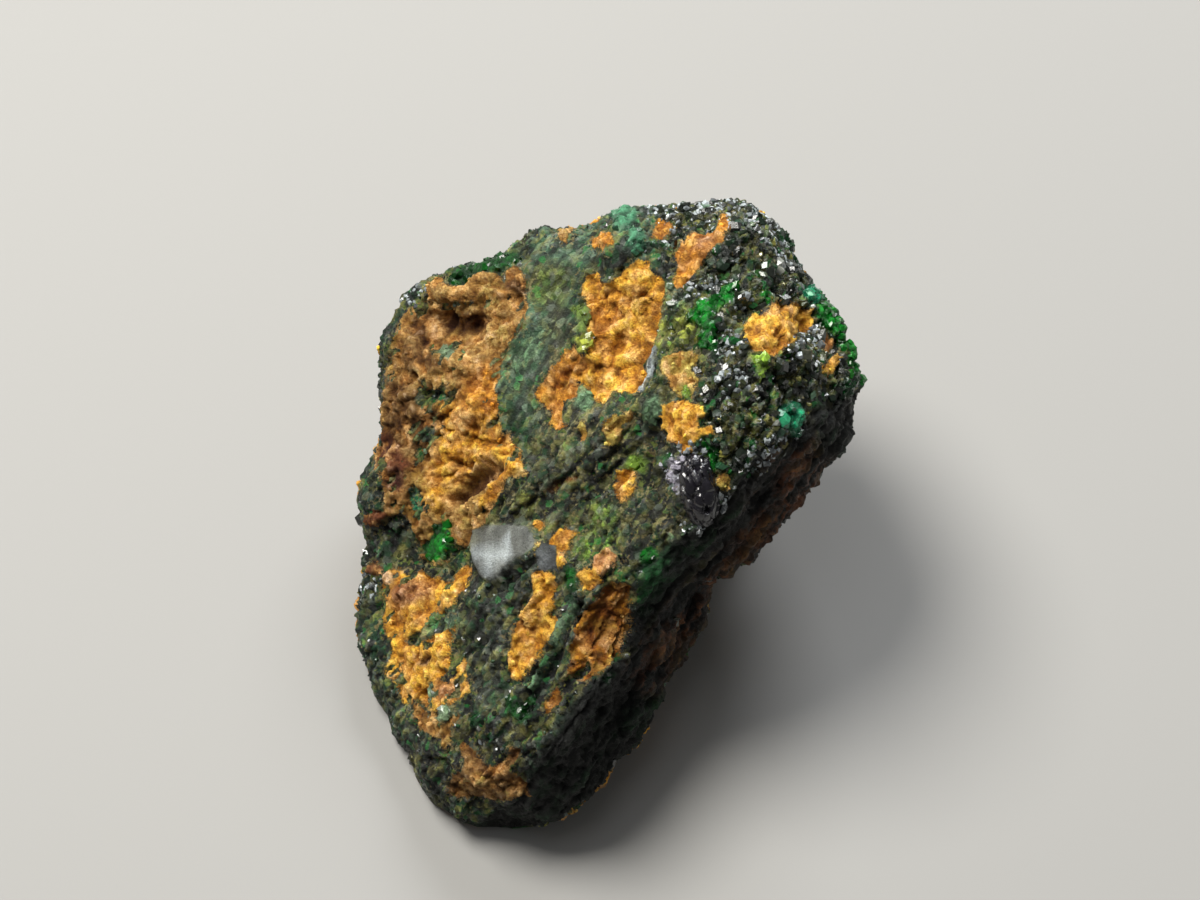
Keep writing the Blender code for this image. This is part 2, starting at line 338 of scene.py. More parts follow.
# Rock that shows through or beside the iron oxide: colour, height in mm, softness in pixels, outline
windows = {
    "browGreen": ("blackGreen", -0.12, 6, [
        (383, 520), (400, 515), (408, 530), (420, 545), (418, 558), (400, 570), (386, 572), (366, 560),
        (356, 545), (366, 530)]),
    "inletA": ("bottleGreen", -0.08, 6, [
        (413, 398), (424, 390), (438, 391), (445, 396), (434, 405), (418, 405)]),
    "inletB": ("greyGreen", 0.0, 6, [(418, 432), (430, 425), (438, 432), (430, 444), (420, 442)]),
    "inletC": ("bottleGreen", -0.04, 5, [(411, 452), (418, 446), (425, 452), (420, 460)]),
    "inletD": ("teal", -0.04, 5, [(405, 490), (412, 483), (418, 494), (422, 510), (414, 516), (407, 504)]),
    "inletE": ("bottleGreen", -0.06, 5, [
        (446, 556), (456, 547), (468, 549), (464, 562), (456, 572), (446, 578), (438, 574), (444, 566)]),
    "inletF": ("greyGreen", -0.05, 6, [
        (425, 622), (440, 612), (456, 606), (456, 622), (444, 628), (432, 634), (424, 632)]),
    "inletG": ("bottleGreen", -0.10, 5, [(405, 640), (412, 632), (422, 630), (418, 642), (408, 648)]),
    "inletH": ("moss", -0.05, 5, [(446, 655), (452, 640), (466, 640), (462, 660), (452, 672), (445, 670)]),
    "sootA": ("blackGreen", -0.10, 6, [
        (735, 300), (752, 296), (768, 302), (752, 312), (742, 324), (730, 315)]),
    "sootB": ("black", -0.06, 8, [
        (722, 350), (745, 352), (755, 372), (770, 358), (795, 352), (815, 372), (800, 400), (770, 420),
        (735, 412), (712, 395), (715, 370)]),
    "sootC": ("black", -0.08, 6, [(700, 392), (725, 388), (735, 400), (722, 412), (705, 405)]),
    "grooveTop": ("blackGreen", -0.08, 6, [
        (590, 258), (620, 252), (630, 262), (615, 278), (600, 280), (585, 266)]),
    "limeField": ("lime", 0.0, 16, [
        (574, 548), (580, 538), (592, 530), (598, 508), (612, 508), (612, 540), (600, 545), (586, 552)]),
    "mossyField": ("yellowGreen", 0.0, 18, [
        (655, 315), (668, 298), (690, 300), (690, 330), (670, 346), (656, 345)]),
    "mossyEdge": ("greyGreen", 0.0, 12, [(660, 300), (672, 288), (688, 292), (680, 310), (664, 315)]),
    "yellowLeft": ("yellowGreen", 0.0, 10, [(518, 500), (526, 494), (532, 503), (526, 513), (518, 510)]),
    "oliveTop": ("moss", 0.0, 16, [(535, 285), (545, 275), (562, 280), (558, 298), (540, 300)]),
    "greenNeck": ("bottleGreen", 0.0, 12, [(500, 420), (512, 405), (524, 420), (530, 450), (520, 450)]),
    "greenBelow": ("bottleGreen", 0.0, 14, [(640, 575), (660, 560), (672, 560), (660, 590), (644, 610)]),
}

# Smooth flat faces: colour, height in mm, softness in pixels, outline
satinFaces = {
    "satinMain": ("silver", 0.05, 5, [
        (472, 530), (484, 525), (508, 525), (533, 529), (535, 546), (522, 554), (508, 568), (494, 581),
        (482, 577), (474, 562)]),
    "satinSmall": ("steel", 0.0, 5, [
        (536, 548), (545, 542), (556, 546), (557, 569), (541, 571), (535, 560)]),
}

# Clear green garnet: colour, height in mm, outline
greens = {
    "heart": ("emerald", 0.06, [
        (690, 310), (700, 300), (715, 295), (725, 285), (736, 284), (733, 297), (722, 305), (715, 315),
        (711, 330), (716, 345), (700, 349), (695, 335), (700, 325), (690, 318)]),
    "rightRim": ("emerald", 0.05, [
        (818, 304), (832, 302), (844, 318), (853, 335), (860, 352), (863, 372), (860, 388), (850, 386),
        (852, 370), (848, 352), (838, 338), (826, 325), (818, 315)]),
    "rightTip": ("bottleGreen", 0.03, [(845, 380), (856, 374), (860, 388), (848, 396)]),
    "tealKnob": ("teal", 0.06, [
        (787, 405), (797, 400), (808, 403), (806, 416), (800, 432), (793, 437), (789, 426), (783, 418)]),
    "leftGem": ("emerald", 0.06, [
        (431, 526), (444, 523), (450, 535), (447, 550), (438, 562), (428, 558), (421, 548), (430, 540)]),
    "ridgeGem": ("deepGreen", 0.05, [
        (446, 276), (460, 268), (480, 264), (497, 257), (507, 254), (519, 256), (516, 265), (504, 269),
        (490, 273), (475, 273), (462, 285), (451, 285)]),
    "footGem": ("deepGreen", 0.04, [
        (505, 700), (515, 696), (521, 705), (529, 707), (531, 716), (522, 723), (511, 717), (507, 709)]),
    "crownGem": ("paleTeal", 0.05, [
        (611, 215), (622, 206), (636, 212), (641, 222), (630, 226), (617, 229)]),
    "crownGemLow": ("paleTeal", 0.03, [
        (628, 232), (642, 230), (646, 241), (638, 253), (630, 250), (630, 241)]),
    "lobeGem": ("greyGreen", 0.0, [
        (582, 387), (590, 394), (592, 405), (583, 411), (574, 405), (577, 395)]),
    "fieldGem": ("moss", 0.0, [
        (572, 309), (582, 304), (591, 310), (583, 319), (584, 330), (578, 330), (575, 318)]),
    "fieldGemLow": ("yellowGreen", 0.0, [(576, 340), (585, 334), (588, 345), (580, 351)]),
    "frostGem": ("greyGreen", 0.03, [(647, 400), (660, 396), (661, 410), (652, 421), (640, 412)]),
    "greenSeam": ("emerald", 0.0, [
        (702, 434), (714, 448), (719, 467), (712, 471), (707, 456), (699, 445)]),
    "cheekGem": ("emerald", 0.03, [(664, 466), (664, 456), (670, 453), (671, 463), (667, 471)]),
    "elbowGem": ("emerald", 0.02, [(638, 552), (648, 547), (656, 552), (652, 561), (642, 563)]),
    "crumbGem": ("deepGreen", -0.02, [
        (565, 572), (570, 566), (576, 572), (574, 590), (568, 594), (566, 584)]),
    "limeGem": ("lime", 0.03, [(754, 355), (768, 354), (771, 368), (763, 381), (757, 370)]),
    "limeDot": ("lime", 0.02, [(680, 391), (686, 384), (691, 391), (686, 397)]),
    "iceLow": ("icy", 0.03, [(434, 716), (446, 706), (455, 712), (446, 720), (437, 722)]),
    "iceTop": ("icy", 0.02, [(441, 343), (448, 340), (453, 352), (447, 359), (441, 352)]),
    "iceMid": ("icy", 0.03, [(425, 690), (431, 683), (435, 690), (430, 699)]),
    "lowDot": ("bottleGreen", 0.0, [(469, 716), (474, 709), (480, 716), (478, 727), (471, 727)]),
    "edgeGem": ("bottleGreen", 0.02, [
        (784, 226), (795, 232), (803, 250), (812, 268), (802, 268), (794, 256), (786, 244), (778, 236)]),
    "edgeGemLow": ("teal", 0.02, [(803, 287), (815, 284), (825, 295), (815, 304), (806, 298)]),
    "speck": ("emerald", 0.02, [(762, 292), (768, 287), (772, 296), (767, 304)]),
    "dropCap": ("lime", 0.0, [(627, 467), (632, 457), (641, 459), (641, 469)]),
    "underGem": ("bottleGreen", 0.0, [(604, 676), (612, 670), (618, 678), (608, 684)]),
}

# Pale glassy crystals along the edges, their pale tint partly painted glints where light catches them:
# colour, outline
frostsAndGlints = {
    "crown": ("frost", [
        (648, 204), (664, 192), (700, 192), (735, 194), (768, 210), (772, 228), (745, 224), (715, 222),
        (690, 226), (665, 226)]),
    "crownRight": ("frost", [(768, 215), (790, 235), (805, 262), (795, 268), (778, 248), (762, 232)]),
    "neck": ("frost", [(686, 284), (716, 280), (750, 292), (748, 306), (716, 298), (690, 296)]),
    "heartSide": ("frost", [(712, 330), (735, 330), (740, 348), (716, 350)]),
    "ridgeEnd": ("frost", [(745, 462), (756, 448), (790, 428), (796, 438), (776, 456), (752, 474)]),
    "leftCorner": ("frost", [(402, 296), (414, 284), (426, 290), (414, 304)]),
    "leftRim": ("frost", [(350, 590), (358, 576), (370, 578), (372, 592), (360, 600)]),
    "cheekRim": ("frost", [(664, 462), (672, 448), (700, 442), (704, 450), (684, 458), (672, 470)]),
    "patchRim": ("frost", [(800, 338), (818, 326), (824, 340), (806, 356), (790, 352)]),
    "knob": ("frost", [(720, 372), (740, 366), (748, 384), (728, 392)]),
    "beanRim": ("lilac", [
        (662, 462), (674, 454), (686, 456), (682, 470), (686, 488), (676, 494), (668, 480)]),
    # painted highlight: pale grains under the black crystal stand for its bright crescent highlight
    "beanFootHighlight": ("frost", [
        (678, 526), (698, 524), (716, 512), (724, 498), (728, 502), (718, 518), (698, 532)]),
}

# Cracks and ledges: colour or None, depth or height in mm, half width in pixels, line
seams = {
    # painted shade: the deep groove is painted black
    "grooveShade": ("black", -0.22, 10, [(578, 606), (562, 628), (552, 655), (540, 682), (525, 706)]),
    # painted highlight: a raised lip whose pale colour stands for light catching the ledge edge
    "lipHighlight": ("greyGreen", 0.10, 3, [
        (573, 604), (562, 618), (553, 634), (545, 655), (537, 668), (528, 688)]),
    "lilacRim": ("lilac", 0.07, 9, [(672, 462), (674, 474), (677, 488)]),
    "satinLine": ("frost", 0.02, 3, [(512, 536), (509, 550), (505, 562)]),
    # painted highlight: a pale patch of reflected light on the lower left of the satin face
    "satinHighlight": ("frost", 0.0, 11, [(481, 553), (489, 568)]),
    "fieldLip": ("frost", 0.04, 4, [(653, 348), (649, 362), (645, 374), (637, 388)]),
    # painted highlight: a pale rim line along the ridge under the black crystal
    "ridgeRimHighlight": ("greyGreen", 0.03, 3, [(683, 530), (698, 525), (710, 514), (720, 500)]),
    "beanShade": ("black", -0.06, 6, [(684, 516), (700, 518), (714, 505), (718, 490)]),
    "groovePit": ("black", -0.10, 6, [(590, 664), (578, 672), (566, 690)]),
    "midCrack": ("black", -0.12, 6, [(655, 420), (648, 450), (645, 480), (640, 495)]),
    "ridgeCrack": ("black", -0.08, 4, [(620, 520), (612, 545), (622, 560)]),
    "strataA": ("black", -0.03, 4, [(500, 520), (540, 498), (580, 462), (602, 440)]),
    "strataB": ("black", -0.03, 4, [(530, 520), (565, 500), (600, 465), (640, 430)]),
    "strataC": ("umber", -0.05, 4, [(548, 490), (562, 482), (575, 478)]),
    "strataD": ("black", -0.08, 4, [(505, 570), (495, 590), (480, 610), (468, 640)]),
    "underSatin": ("black", -0.14, 7, [(535, 560), (515, 572), (500, 584), (488, 592)]),
    "spearShade": ("black", -0.14, 4, [(545, 648), (538, 660), (528, 674), (520, 684)]),
    "fieldCrack": (None, -0.07, 3, [(618, 310), (640, 295), (655, 280)]),
    "lobeCrack": (None, -0.07, 3, [(548, 390), (562, 385), (570, 372)]),
    "leftCrack": (None, -0.10, 4, [(470, 470), (450, 462), (430, 470)]),
    "shoulderLip": (None, 0.06, 4, [(728, 308), (742, 298), (752, 288)]),
}

# The far side of the ridge lies below this line
ridgeLine = [
    (330, 900), (520, 800), (545, 745), (565, 710), (590, 682), (628, 655), (636, 620), (642, 578),
    (660, 553), (672, 537), (708, 512), (734, 479), (775, 450), (792, 429), (830, 395), (858, 392),
    (1000, 395), (1100, 900)]
rustyStreaks = [
    (800, 440), (820, 470), (808, 505), (770, 530), (700, 600), (690, 640), (650, 680), (640, 672),
    (690, 600), (745, 540), (768, 500), (785, 450)]

# The skin of the stone
rock = {
    "cell": 0.047,  # mm, size of the surface mesh
    "smoothing": 17,
    "triangles": 196000,  # kept after the relief is in
    "facing": (-0.06, 0.10),  # lean towards the camera from which the outlines hold
    "depth": (-2.6, -1.8),  # mm in front of the middle from which they hold
    "ragged": 3.4,  # pixels that noise moves the outlines
    "straight": 0.2,  # share of that on the smooth faces
    "farOut": 60.0,  # pixels, what lies outside every outline
    "grainTurn": 52.0,  # degrees from level that the grain of the stone runs
    "grainSize": (0.27, 0.18, 0.2),  # mm along the grain, across it and in depth
    "grainHeight": 0.12,  # mm, as are the heights below
    "fineGrain": 0.04,
    "blocks": 0.08,
    "layers": 0.06,
    "strands": 0.085,
    "facets": 0.065,
    "lumps": 0.035,
    "chips": 0.035,
    "grit": 0.026,
    "farSide": (0.08, 0.08, 0.05, 0.05, 0.03, 0.03),  # streaks, blocks, facets, layers, chips, grain
    "footClear": 0.25,  # mm above the floor where the relief ends
}


def meshOf(bm, name):
    mesh = bpy.data.meshes.new(name)
    bm.to_mesh(mesh)
    bm.free()
    return mesh


def inScene(name, data):
    made = bpy.data.objects.new(name, data)
    bpy.context.scene.collection.objects.link(made)
    return made


def applied(piece):
    # the mesh of a piece with its modifiers in it; the piece itself goes
    graph = bpy.context.evaluated_depsgraph_get()
    mesh = bpy.data.meshes.new_from_object(piece.evaluated_get(graph))
    bpy.data.objects.remove(piece)
    return mesh


def fineSkin(node):
    # an even fine copy of the CAD stone, 1 unit to the mm, with its coarse triangles smoothed away
    bm = bmesh.new()
    bm.from_mesh(node.data)
    bmesh.ops.remove_doubles(bm, verts=bm.verts, dist=1e-7)
    bmesh.ops.scale(bm, vec=(1 / mm, 1 / mm, 1 / mm), verts=bm.verts)
    coarse = inScene("coarse", meshOf(bm, "coarse"))
    remesh = coarse.modifiers.new("even", "REMESH")
    remesh.mode = "VOXEL"
    remesh.voxel_size = rock["cell"]
    soften = coarse.modifiers.new("soften", "SMOOTH")
    soften.factor = 0.5
    soften.iterations = rock["smoothing"]
    return applied(coarse)


def thinned(mesh, triangles):
    # the mesh with its flattest places merged, down to that many triangles
    full = inScene("full", mesh)
    merge = full.modifiers.new("merge", "DECIMATE")
    merge.ratio = min(1.0, triangles / (len(mesh.polygons) * 2))
    return applied(full)


def numbersOf(data, name, width):
    out = np.empty(len(data) * width)
    data.foreach_get(name, out)
    return out.reshape(-1, width)


def keepOnMesh(mesh, name, rows):
    # stores three numbers for each vertex
    layer = mesh.attributes.new(name, "FLOAT_VECTOR", "POINT")
    layer.data.foreach_set("vector", np.ascontiguousarray(rows, dtype=float).ravel())


skin = fineSkin(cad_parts["uvarovite_stone"])
spots = numbersOf(skin.vertices, "co", 3)
normals = numbersOf(skin.vertex_normals, "vector", 3)
print("fine skin:", len(spots), "points,", len(skin.polygons), "faces")

across = faceOn(spots * mm)
facing = normals @ turned
pictureX, pictureY = inPicture(across)
seen = ramp(facing[:, 2], *rock["facing"]) * ramp(across[:, 2], *rock["depth"])
hidden = 1 - seen
grain = alongGrain(across, rock["grainTurn"])

# noise moves the outlines, so that no edge is a clean curve
x = pictureX + cloud(across, 0.32, seed=1, octaves=4) * rock["ragged"]
y = pictureY + cloud(across, 0.32, seed=2, octaves=4) * rock["ragged"]
faceX = pictureX + (x - pictureX) * rock["straight"]
faceY = pictureY + (y - pictureY) * rock["straight"]


def paint(tints, mask, colour):
    # the tints with a colour laid over them where the mask is 1
    return tints * (1 - mask[:, None]) + np.array(colours[colour]) * mask[:, None]


def plain(colour):
    # one colour all over
    return np.zeros((len(spots), 3)) + np.array(colours[colour])


def paintClouds(tints, layers):
    # lays colours over the tints: where which noise goes from one level to the other, and how much
    for values, start, end, share, colour in layers:
        tints = paint(tints, ramp(values, start, end) * share, colour)
    return tints


def within(edge, start, end, edgeX=x, edgeY=y):
    # 1 inside an outline and 0 outside and out of view, changing between those depths in pixels
    return ramp(insideOf(edgeX, edgeY, edge), start, end) * seen


def raised(lift, edge, rim, edgeX=x, edgeY=y):
    # mm that a patch stands out of the rock, with a rim that many pixels to each side
    return lift * ramp(insideOf(edgeX, edgeY, edge), -rim, rim) * seen


def insideAny(patches, edgeX=x, edgeY=y):
    # pixels inside the nearest of several patches; below zero outside them all, and out of view
    field = np.full(len(spots), -rock["farOut"])
    for patch in patches:
        field = np.maximum(field, insideOf(edgeX, edgeY, patch[-1]))
    return field * seen - rock["farOut"] * hidden


broad = cloud(grain, (1.1, 0.5, 0.7), seed=3)
narrow = cloud(grain, (0.5, 0.12, 0.25), seed=4)
blotch = cloud(across, 0.30, seed=5)
flecks = cloud(across, 0.13, seed=9, octaves=2)
lumps = cloud(across, 0.34, seed=13, octaves=4, fine=0.6)
peachy = cloud(across, 0.24, seed=18)
tone = cloud(across, 0.8, seed=7)
shadowStreaks = cloud(grain, (1.6, 0.22, 0.5), seed=10, octaves=4)

# rock: black and dark green, with greyer and greener clouds drawn out along the grain
rockTint = plain("blackGreen")
rockTint = paintClouds(rockTint, [
    (broad, 0.05, 0.45, 0.6, "slate"),
    (blotch, 0.15, 0.5, 0.7, "bottleGreen")])
for colour, soft, edge in washes.values():
    rockTint = paint(rockTint, within(edge, -soft, soft), colour)
for colour, _, soft, edge in windows.values():
    rockTint = paint(rockTint, within(edge, -soft, soft / 2), colour)
calmShare = within(washes["band"][-1], -10, 10)
calm = 1 - 0.45 * calmShare
rockTint = paintClouds(rockTint, [
    (narrow, 0.12, 0.4, 0.6 * calm, "olive"),
    (-narrow, 0.02, 0.22, 0.85 * calm, "black"),
    (flecks, 0.25, 0.5, 0.4, "silver"),
    (-flecks, 0.25, 0.45, 0.55 * calm, "bottleGreen")])

# iron oxide: golden to brown everywhere, with each patch's own tone over it
oxideTint = plain("golden")
oxideTint = paintClouds(oxideTint, [
    (tone, -0.1, 0.3, 1.0, "tan"),
    (-tone, 0.05, 0.35, 0.8, "orange"),
    (tone, 0.3, 0.5, 0.8 * hidden, "rust")])
for colour, _, edge in oxides.values():
    oxideTint = paint(oxideTint, within(edge, -5, 1), colour)
oxideTint = paintClouds(oxideTint, [
    (blotch, 0.15, 0.5, 0.45, "brown"),
    (-blotch, 0.15, 0.5, 0.35, "yellow")])
for colour, _, soft, edge in oxideTones.values():
    oxideTint = paint(oxideTint, within(edge, -soft / 2, soft / 2), colour)
oxideTint = paintClouds(oxideTint, [
    (peachy, 0.05, 0.4, 0.6, "peach"),
    (flecks, 0.3, 0.55, 0.4, "chalk"),
    (-flecks, 0.3, 0.5, 0.5, "umber")])

# patches on the sides out of view come from noise
wild = {
    "oxideSize": 1.4,  # mm
    "oxideBelow": 0.13,  # more is less oxide
    "oxideReach": 70,  # pixels for each step of the noise
    "strands": 0.2,
    "greenSize": 0.5,
    "greenBelow": 0.50,
    "greenReach": 50,
    "inView": 90,  # pixels that it falls back where the outlines hold
}

# where each kind of surface lies: pixels inside its edge
oxideField = insideAny(oxides.values())
greenField = insideAny(greens.values())
satinField = insideAny(satinFaces.values(), faceX, faceY)
windowField = insideAny(windows.values())
wildOxide = cloud(across, wild["oxideSize"], seed=6, octaves=4) + wild["strands"] * narrow
wildOxide = (wildOxide - wild["oxideBelow"]) * wild["oxideReach"]
wildGreen = (cloud(across, wild["greenSize"], seed=8) - wild["greenBelow"]) * wild["greenReach"]
oxideField = np.maximum(oxideField, wildOxide - wild["inView"] * seen)
greenField = np.maximum(greenField, wildGreen - wild["inView"] * seen)
oxideField = np.minimum(oxideField, -np.maximum(np.maximum(greenField, satinField), windowField))
stringy = insideAny([oxides["leftField"], oxides["lowField"], oxides["lowTail"]])
oxideField -= ramp(narrow, 0.22, 0.42) * ramp(stringy, 0, 6) * 12

# the far side of the ridge is painted black, partly the rock's own dark colour and partly painted shade,
# with faint rusty streaks along it
beyond = within(ridgeLine, -5, 5)
rusty = ramp(insideOf(x, y, rustyStreaks), -26, 10) * ramp(shadowStreaks, -0.1, 0.3)
rockTint = paint(rockTint, beyond, "black")
rockTint = paint(rockTint, beyond * rusty * 0.8, "rust")
rockTint = paint(rockTint, beyond * ramp(shadowStreaks, 0.1, 0.5) * 0.3, "bottleGreen")
rockTint = paint(rockTint, within(windows["greenBelow"][-1], -12, 8), "bottleGreen")

# colour of the clear green and of the smooth faces goes with the rock
for colour, _, edge in greens.values():
    rockTint = paint(rockTint, within(edge, -3, 1), colour)
for colour, _, soft, edge in satinFaces.values():
    rockTint = paint(rockTint, within(edge, -soft / 2, soft / 2, faceX, faceY), colour)
rockTint = paintClouds(rockTint, [
    (wildGreen, -1, 3, hidden, "deepGreen"),
    (wildGreen, 1, 6, hidden, "emerald")])

# each patch stands out of the rock or lies sunk in it
heights = np.zeros(len(spots))
for _, lift, edge in oxides.values():
    heights += raised(lift, edge, 1.5)
for _, lift, edge in greens.values():
    heights += raised(lift, edge, 2)
for _, lift, soft, edge in [*oxideTones.values(), *windows.values()]:
    heights += raised(lift, edge, soft / 2)
for _, lift, _, edge in satinFaces.values():
    heights += raised(lift, edge, 1.5, faceX, faceY)
for colour, lift, wide, line in seams.values():
    mask = ramp(-nearLine(x, y, line), -wide, -wide * 0.3) * seen
    heights += lift * mask
    if colour:
        rockTint = paint(rockTint, mask, colour)
        oxideField = np.minimum(oxideField, 6 - 12 * mask)
print("patches placed")

oxideShare = ramp(oxideField, -1.5, 1.5)
greenShare = ramp(greenField, -1.5, 1.5)
satinShare = ramp(satinField, -1.5, 2)
coarseShare = np.maximum(ramp(insideOf(x, y, washes["shoulder"][-1]), -20, 20), 0.6 * hidden)

# relief of the rock, of the iron oxide and of the far side
packed = crystals(grain, rock["grainSize"], seed=11, tilt=0.9)
fine = crystals(across, 0.12, seed=12, tilt=0.9)
broken = crystals(across, (0.42, 0.30, 0.34), seed=14, seam=0.25)
chips = crystals(across, 0.19, seed=17)
blocks = crystals(grain, (0.6, 0.22, 0.4), seed=16)
layers = 0.5 - np.abs(cloud(grain, (0.8, 0.15, 0.35), seed=15))
rockRelief = (
    packed * rock["grainHeight"] * (0.2 + 0.8 * coarseShare)
    + fine * rock["fineGrain"]
    + blocks * rock["blocks"] * (1 - 0.7 * coarseShare)
    + layers * rock["layers"] * (1 - 0.6 * coarseShare)
) * (1 - 0.6 * calmShare)
oxideRelief = (
    layers * rock["strands"] + broken * rock["facets"] + lumps * rock["lumps"] + chips * rock["chips"]
    + fine * rock["grit"])
farRelief = np.zeros(len(spots))
for shape, height in zip((shadowStreaks, blocks, broken, layers, chips, fine), rock["farSide"]):
    farRelief += shape * height
relief = rockRelief * (1 - oxideShare) + oxideRelief * oxideShare
relief = relief * (1 - beyond) + farRelief * beyond
relief *= 1 - satinShare * 0.92
heights += relief

# painted light and shade by relief: raised iron oxide is paler, sunken iron oxide darker and browner; the
# rock has painted shade in its seams
reliefLightShade = ramp(layers * 0.8 + broken * 0.6 + lumps * 0.6 + chips * 0.4, -0.8, 0.4)
oxideTint *= (0.50 + 0.62 * reliefLightShade)[:, None]
oxideTint[:, 1] *= 0.76 + 0.30 * reliefLightShade
oxideTint[:, 2] *= 0.4 + 0.8 * reliefLightShade
oxideTint = np.minimum(oxideTint, 0.9)
seamShadeAndMoss = ramp(packed * coarseShare + blocks * (1 - coarseShare) + fine * 0.5, -0.9, 0.2)
mossy = coarseShare * (1 - seamShadeAndMoss) * ramp(blotch, 0.0, 0.3)
rockTint = paint(rockTint, mossy * 0.6 * (1 - greenShare), "olive")
# painted shade: the rock is darker in the seams between its crystals, a little lighter on their tops
rockTint *= (0.4 + 0.8 * seamShadeAndMoss)[:, None]

# how glassy the rock is, and how much yellow dust lies on it
shine = (0.4 + 0.6 * coarseShare) * (1 - 0.4 * calmShare) * (1 - 0.6 * beyond)
dustyAreas = [washes["middle"], windows["mossyField"], windows["limeField"]]
dusty = ramp(insideAny(dustyAreas), -10, 10) * 0.55
dusty = np.maximum(dusty, ramp(oxideField, -14, -2)) * (1 - beyond)
dusty = np.maximum(dusty, 0.2 * coarseShare * (1 - beyond))

clear = ramp(spots[:, 2], 0.02, rock["footClear"])
moved = spots + normals * (heights * clear)[:, None]

# each satin face is one flat crystal face
for face in satinFaces.values():
    flat = within(face[-1], -2.5, 1.0, faceX, faceY)
    middle = (moved * flat[:, None]).sum(axis=0) / flat.sum()
    outwards = (normals * flat[:, None]).sum(axis=0)
    outwards /= np.linalg.norm(outwards)
    off = (moved - middle) @ outwards
    moved -= outwards * (off * flat * 0.95)[:, None]
moved[:, 2] = np.maximum(moved[:, 2], 0.0)
skin.vertices.foreach_set("co", (moved * mm).ravel())
skin.update()
keepOnMesh(skin, "rockTint", rockTint)
keepOnMesh(skin, "oxideTint", oxideTint)
keepOnMesh(skin, "fields", np.stack([oxideField, greenField, satinField], axis=1))
keepOnMesh(skin, "finish", np.stack([shine, dusty, beyond], axis=1))
keepOnMesh(skin, "grainSpot", grain)
print("relief done")

skin = thinned(skin, rock["triangles"])
print("thinned skin:", len(skin.polygons), "faces")


class Nodes:
    # a short way to write a material's nodes
    def __init__(self, name):
        self.material = bpy.data.materials.new(name)
        self.material.use_nodes = True
        self.tree = self.material.node_tree
        self.shader = self.tree.nodes["Principled BSDF"]

    def add(self, kind, inputs=None, **settings):
        made = self.tree.nodes.new("ShaderNode" + kind)
        for key, value in settings.items():
            setattr(made, key, value)
        for key, value in (inputs or {}).items():
            self.feed(made.inputs[key], value)
        return made

    def feed(self, socket, value):
        if isinstance(value, bpy.types.NodeSocket):
            self.tree.links.new(value, socket)
        else:
            socket.default_value = value

    def give(self, name, value):
        # one of the shader's own sockets
        self.feed(self.shader.inputs[name], value)

    def place(self):
        # where a point of the piece lies, in mm
        return self.vector("SCALE", self.add("TexCoord").outputs["Object"], scale=1 / mm)

    def stored(self, name):
        # three numbers kept on the mesh
        return self.add("Attribute", attribute_name=name).outputs["Vector"]

    def apart(self, value):
        return self.add("SeparateXYZ", {0: value}).outputs

    def maths(self, operation, a, b=0.0, clamp=False):
        return self.add("Math", {0: a, 1: b}, operation=operation, use_clamp=clamp).outputs[0]

    def weighted(self, *pairs):
        # the sum of values, each times its weight
        total = None
        for value, weight in pairs:
            part = self.maths("MULTIPLY", value, weight)
            total = part if total is None else self.maths("ADD", total, part)
        return total

    def vector(self, operation, a, b=None, scale=None):
        made = self.add("VectorMath", {0: a}, operation=operation)
        if b is not None:
            self.feed(made.inputs[1], b)
        if scale is not None:
            self.feed(made.inputs["Scale"], scale)
        return made.outputs[0]

    def span(self, value, fromLow, fromHigh, toLow=0.0, toHigh=1.0):
        return self.add("MapRange", {
            "Value": value, "From Min": fromLow, "From Max": fromHigh,
            "To Min": toLow, "To Max": toHigh}).outputs["Result"]

    def blend(self, share, a, b, mode="MIX"):
        made = self.add("Mix", {"Factor": share}, data_type="RGBA", blend_type=mode)
        self.feed(made.inputs[6], a)
        self.feed(made.inputs[7], b)
        return made.outputs[2]

    def mixed(self, share, a, b):
        # the same for single numbers
        return self.add("Mix", {"Factor": share, 2: a, 3: b}, data_type="FLOAT").outputs[0]

    def stepped(self, value, stops, mode="LINEAR"):
        # a colour ramp of (place, colour) stops
        made = self.add("ValToRGB", {"Fac": value})
        made.color_ramp.interpolation = mode
        elements = made.color_ramp.elements
        while len(elements) < len(stops):
            elements.new(0.5)
        for element, (place, colour) in zip(elements, stops):
            element.position = place
            element.color = (*colour, 1.0)
        return made.outputs["Color"]

    def cloud(self, spot, scale, detail=3.0, roughness=0.6):
        return self.add("TexNoise", {
            "Vector": spot, "Scale": scale, "Detail": detail, "Roughness": roughness}).outputs["Fac"]

    def cells(self, spot, scale):
        # a colour of its own for each small cell
        return self.add("TexVoronoi", {"Vector": spot, "Scale": scale}).outputs["Color"]

    def bump(self, height, distance, strength, normal=None):
        # relief that many mm high, too fine for the mesh
        made = self.add("Bump", {"Height": height, "Distance": distance * mm, "Strength": strength})
        if normal is not None:
            self.feed(made.inputs["Normal"], normal)
        self.give("Normal", made.outputs["Normal"])


